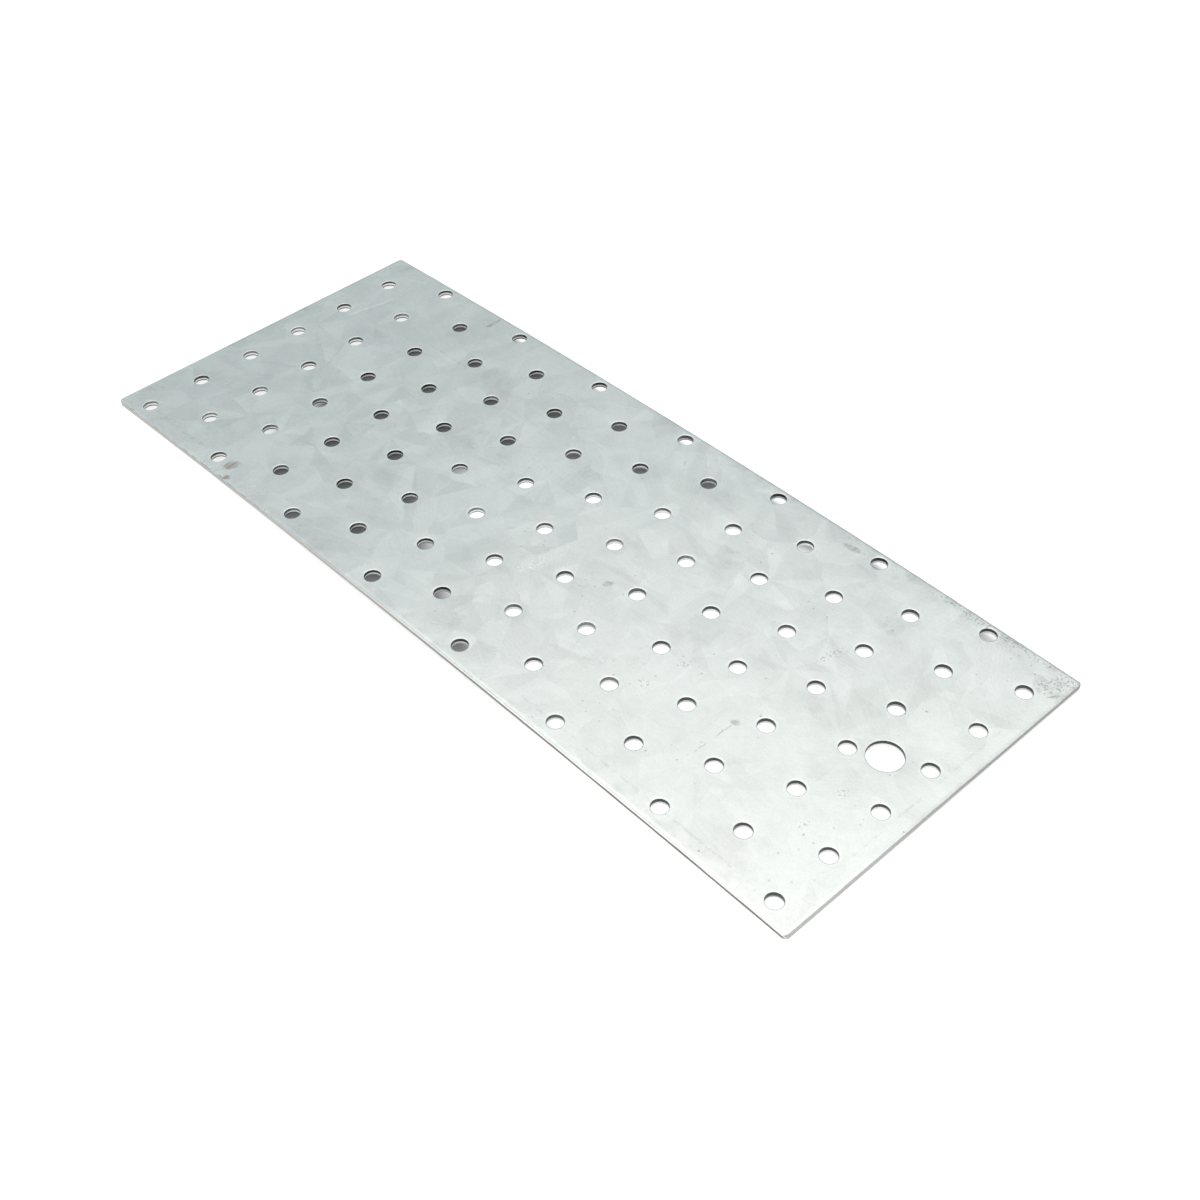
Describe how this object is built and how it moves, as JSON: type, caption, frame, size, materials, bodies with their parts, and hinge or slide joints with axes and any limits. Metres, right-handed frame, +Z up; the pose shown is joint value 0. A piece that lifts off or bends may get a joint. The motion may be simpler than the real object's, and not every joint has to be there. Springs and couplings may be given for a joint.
{
  "type": "perforated nail plate",
  "caption": "Flat rectangular sheet of galvanised steel with staggered rows of round nail holes and one large hole near an end, for joining two timbers face to face.",
  "frame": {"origin": "middle of the plate's footprint, at the level of the surface it rests on: its two short ends touch that level, and its middle arches 3 mm above it", "axes": "+X along the length, toward the end with the large hole; +Y across the width, toward the long edge that odd rows of holes reach nearest; +Z up through the thickness"},
  "size_m": [0.3, 0.12, 0.005],
  "materials": {
    "galvanised_steel": "hot-dip zinc with large feathered spangle, cold pale grey, softly matt"
  },
  "bodies": {
    "root": {"perforated_plate": "galvanised_steel"}
  },
  "joints": []
}
